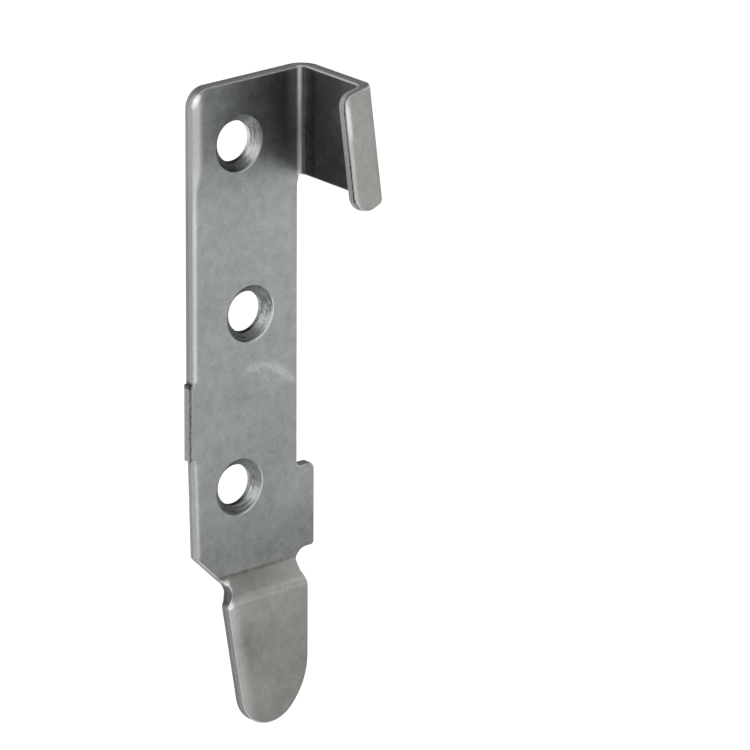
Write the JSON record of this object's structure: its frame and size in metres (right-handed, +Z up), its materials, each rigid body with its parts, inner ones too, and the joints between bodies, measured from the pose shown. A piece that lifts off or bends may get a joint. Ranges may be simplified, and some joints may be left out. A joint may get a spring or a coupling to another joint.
{
  "type": "bed rail bracket",
  "caption": "Folded sheet steel bed rail bracket: a flat plate with countersunk holes, a wedge-shaped hook at the top and a cranked tongue below that drops into a matching hook.",
  "frame": {"origin": "on the back face of the plate, midway between the two outer screw holes", "axes": "+Z up along the plate towards the hook, +Y out of the back face into the timber, +X towards the hook side"},
  "size_m": [0.031, 0.0254, 0.1328],
  "materials": {
    "steel": "uncoated rolled steel, satin and slightly clouded, with brighter edges"
  },
  "bodies": {
    "root": {"bracket": "steel"}
  },
  "joints": []
}
